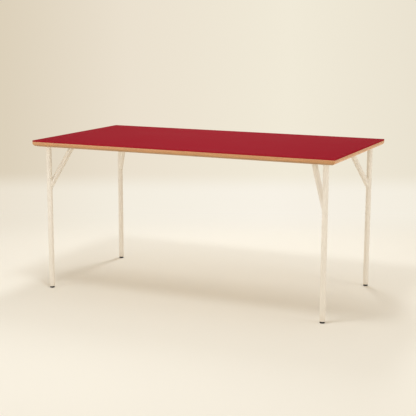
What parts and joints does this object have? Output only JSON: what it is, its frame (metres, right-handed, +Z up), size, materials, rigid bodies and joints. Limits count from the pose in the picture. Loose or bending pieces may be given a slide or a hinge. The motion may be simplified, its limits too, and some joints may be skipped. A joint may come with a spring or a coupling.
{
  "type": "table",
  "caption": "Rectangular table with a red top sheet on plywood with an undercut edge, carried by cream tube legs with diagonal braces and levelling feet.",
  "frame": {"origin": "on the floor under the centre of the top", "axes": "+X along the long side, to the right in the picture; +Y to the back; +Z up"},
  "size_m": [1.5, 0.8, 0.73],
  "materials": {
    "surface_red": "matt, faintly textured red sheet",
    "plywood": "clear-lacquered birch plywood, plies visible on the edge",
    "backing_sheet": "plain brown balancing sheet",
    "cream_coat": "cream powder coat, semi-matt",
    "bush_steel": "plain turned steel",
    "zinc_screw": "bright zinc plate",
    "zinc_insert": "yellow zinc plate",
    "black_steel": "blackened steel",
    "black_nylon": "black moulded nylon"
  },
  "bodies": {
    "table_frame": {"top_surface": "surface_red", "top_core": "plywood", "top_backing": "backing_sheet", "leg_tube_front_left": "cream_coat", "brace_tube_front_left": "cream_coat", "mount_plate_front_left": "cream_coat", "foot_bush_front_left": "bush_steel", "plate_screw_front_left_1": "zinc_screw", "threaded_insert_front_left_1": "zinc_insert", "plate_screw_front_left_2": "zinc_screw", "threaded_insert_front_left_2": "zinc_insert", "plate_screw_front_left_3": "zinc_screw", "threaded_insert_front_left_3": "zinc_insert", "plate_screw_front_left_4": "zinc_screw", "threaded_insert_front_left_4": "zinc_insert", "leg_tube_front_right": "cream_coat", "brace_tube_front_right": "cream_coat", "mount_plate_front_right": "cream_coat", "foot_bush_front_right": "bush_steel", "plate_screw_front_right_1": "zinc_screw", "threaded_insert_front_right_1": "zinc_insert", "plate_screw_front_right_2": "zinc_screw", "threaded_insert_front_right_2": "zinc_insert", "plate_screw_front_right_3": "zinc_screw", "threaded_insert_front_right_3": "zinc_insert", "plate_screw_front_right_4": "zinc_screw", "threaded_insert_front_right_4": "zinc_insert", "leg_tube_rear_left": "cream_coat", "brace_tube_rear_left": "cream_coat", "mount_plate_rear_left": "cream_coat", "foot_bush_rear_left": "bush_steel", "plate_screw_rear_left_1": "zinc_screw", "threaded_insert_rear_left_1": "zinc_insert", "plate_screw_rear_left_2": "zinc_screw", "threaded_insert_rear_left_2": "zinc_insert", "plate_screw_rear_left_3": "zinc_screw", "threaded_insert_rear_left_3": "zinc_insert", "plate_screw_rear_left_4": "zinc_screw", "threaded_insert_rear_left_4": "zinc_insert", "leg_tube_rear_right": "cream_coat", "brace_tube_rear_right": "cream_coat", "mount_plate_rear_right": "cream_coat", "foot_bush_rear_right": "bush_steel", "plate_screw_rear_right_1": "zinc_screw", "threaded_insert_rear_right_1": "zinc_insert", "plate_screw_rear_right_2": "zinc_screw", "threaded_insert_rear_right_2": "zinc_insert", "plate_screw_rear_right_3": "zinc_screw", "threaded_insert_rear_right_3": "zinc_insert", "plate_screw_rear_right_4": "zinc_screw", "threaded_insert_rear_right_4": "zinc_insert"},
    "front_left_foot_pad": {"foot_pad_front_left": "black_nylon"},
    "front_left_foot_stem": {"foot_stem_front_left": "black_steel"},
    "front_right_foot_pad": {"foot_pad_front_right": "black_nylon"},
    "front_right_foot_stem": {"foot_stem_front_right": "black_steel"},
    "rear_left_foot_pad": {"foot_pad_rear_left": "black_nylon"},
    "rear_left_foot_stem": {"foot_stem_rear_left": "black_steel"},
    "rear_right_foot_pad": {"foot_pad_rear_right": "black_nylon"},
    "rear_right_foot_stem": {"foot_stem_rear_right": "black_steel"}
  },
  "joints": [
    {"name": "front_left_foot_travel", "type": "slide", "parent": "table_frame", "child": "front_left_foot_pad", "axis": [0, 0, -1], "range_m": [0, 0.01]},
    {"name": "front_left_stem_turn", "type": "hinge", "parent": "front_left_foot_pad", "child": "front_left_foot_stem", "pos_m": [-0.695, -0.345, 0.0053], "axis": [0, 0, -1], "range_deg": [0, 2880]},
    {"name": "front_right_foot_travel", "type": "slide", "parent": "table_frame", "child": "front_right_foot_pad", "axis": [0, 0, -1], "range_m": [0, 0.01]},
    {"name": "front_right_stem_turn", "type": "hinge", "parent": "front_right_foot_pad", "child": "front_right_foot_stem", "pos_m": [0.695, -0.345, 0.0053], "axis": [0, 0, -1], "range_deg": [0, 2880]},
    {"name": "rear_left_foot_travel", "type": "slide", "parent": "table_frame", "child": "rear_left_foot_pad", "axis": [0, 0, -1], "range_m": [0, 0.01]},
    {"name": "rear_left_stem_turn", "type": "hinge", "parent": "rear_left_foot_pad", "child": "rear_left_foot_stem", "pos_m": [-0.695, 0.345, 0.0053], "axis": [0, 0, -1], "range_deg": [0, 2880]},
    {"name": "rear_right_foot_travel", "type": "slide", "parent": "table_frame", "child": "rear_right_foot_pad", "axis": [0, 0, -1], "range_m": [0, 0.01]},
    {"name": "rear_right_stem_turn", "type": "hinge", "parent": "rear_right_foot_pad", "child": "rear_right_foot_stem", "pos_m": [0.695, 0.345, 0.0053], "axis": [0, 0, -1], "range_deg": [0, 2880]}
  ],
  "couplings": [
    {"joint": "front_left_foot_travel", "follows": "front_left_stem_turn", "m_per_rad": 0.00019894},
    {"joint": "front_right_foot_travel", "follows": "front_right_stem_turn", "m_per_rad": 0.00019894},
    {"joint": "rear_left_foot_travel", "follows": "rear_left_stem_turn", "m_per_rad": 0.00019894},
    {"joint": "rear_right_foot_travel", "follows": "rear_right_stem_turn", "m_per_rad": 0.00019894}
  ]
}
